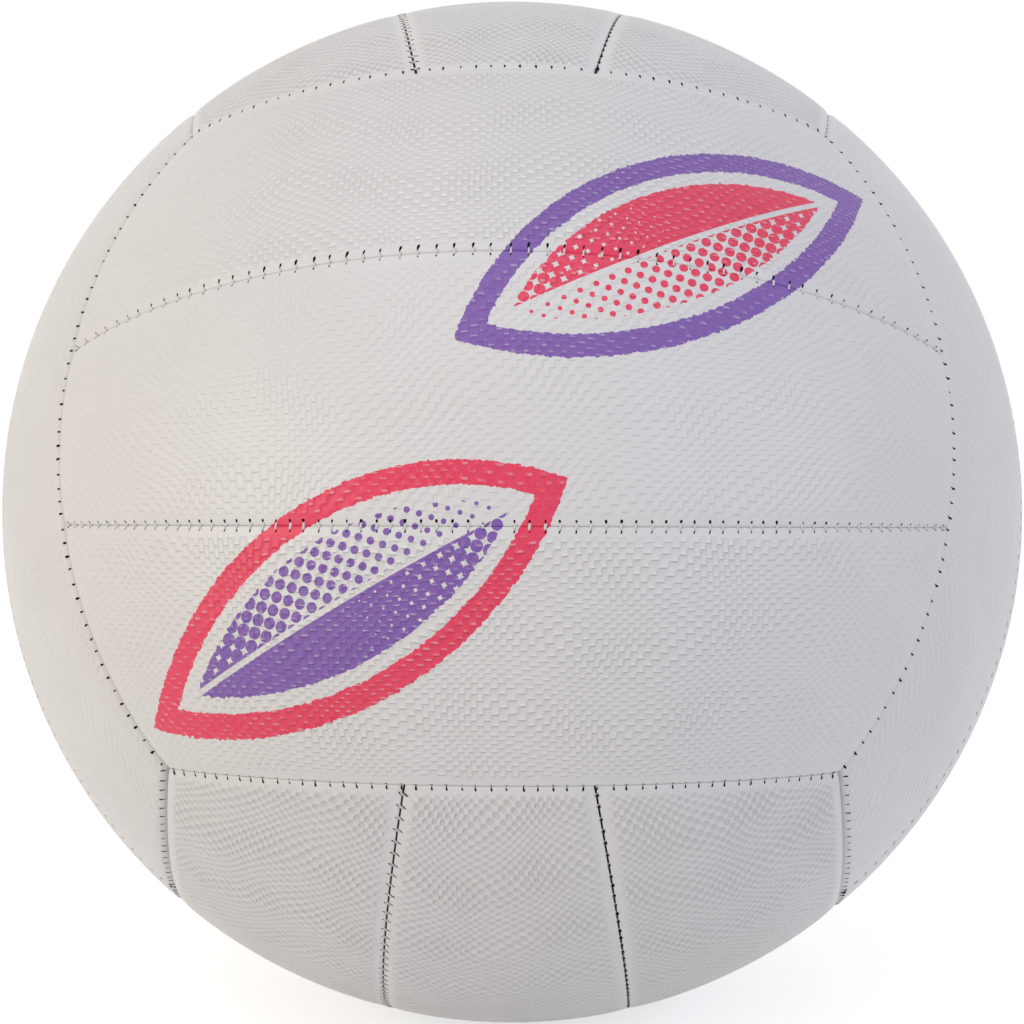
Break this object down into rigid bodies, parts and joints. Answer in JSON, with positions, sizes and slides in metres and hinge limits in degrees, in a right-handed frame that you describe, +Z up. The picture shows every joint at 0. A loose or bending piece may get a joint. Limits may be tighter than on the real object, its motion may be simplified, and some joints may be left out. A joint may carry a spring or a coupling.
{
  "type": "netball",
  "caption": "Inflated netball: long stitched grip-textured cover panels over cloth linings, a rubber bladder and a needle valve.",
  "frame": {"origin": "centre of the ball", "axes": "+X out through the valve, +Z up, -Y towards the face with the lengthwise strips seen in the picture; that face leans back 20 degrees from upright"},
  "size_m": [0.2227, 0.2228, 0.2228],
  "materials": {
    "cover": "embossed matt",
    "lining": "woven cloth",
    "thread": "waxed twisted cord",
    "bladder": "smooth black",
    "valve": "smooth black"
  },
  "bodies": {
    "root": {"bladder": "bladder", "bottom_front_edge_thread": "thread", "bottom_inner_threads": "thread", "bottom_left_lining": "lining", "bottom_left_panel": "cover", "bottom_middle_lining": "lining", "bottom_middle_panel": "cover", "bottom_rear_edge_thread": "thread", "bottom_right_lining": "lining", "bottom_right_panel": "cover", "front_inner_threads": "thread", "front_left_edge_thread": "thread", "front_lower_lining": "lining", "front_lower_panel": "cover", "front_middle_lining": "lining", "front_middle_panel": "cover", "front_right_edge_thread": "thread", "front_upper_lining": "lining", "front_upper_panel": "cover", "left_bottom_edge_thread": "thread", "left_front_lining": "lining", "left_front_panel": "cover", "left_inner_threads": "thread", "left_middle_lining": "lining", "left_middle_panel": "cover", "left_rear_lining": "lining", "left_rear_panel": "cover", "left_top_edge_thread": "thread", "rear_inner_threads": "thread", "rear_left_edge_thread": "thread", "rear_lower_lining": "lining", "rear_lower_panel": "cover", "rear_middle_lining": "lining", "rear_middle_panel": "cover", "rear_right_edge_thread": "thread", "rear_upper_lining": "lining", "rear_upper_panel": "cover", "right_bottom_edge_thread": "thread", "right_front_lining": "lining", "right_front_panel": "cover", "right_inner_threads": "thread", "right_middle_lining": "lining", "right_middle_panel": "cover", "right_rear_lining": "lining", "right_rear_panel": "cover", "right_top_edge_thread": "thread", "top_front_edge_thread": "thread", "top_inner_threads": "thread", "top_left_lining": "lining", "top_left_panel": "cover", "top_middle_lining": "lining", "top_middle_panel": "cover", "top_rear_edge_thread": "thread", "top_right_lining": "lining", "top_right_panel": "cover", "valve_housing": "valve", "valve_plug": "valve"}
  },
  "joints": []
}
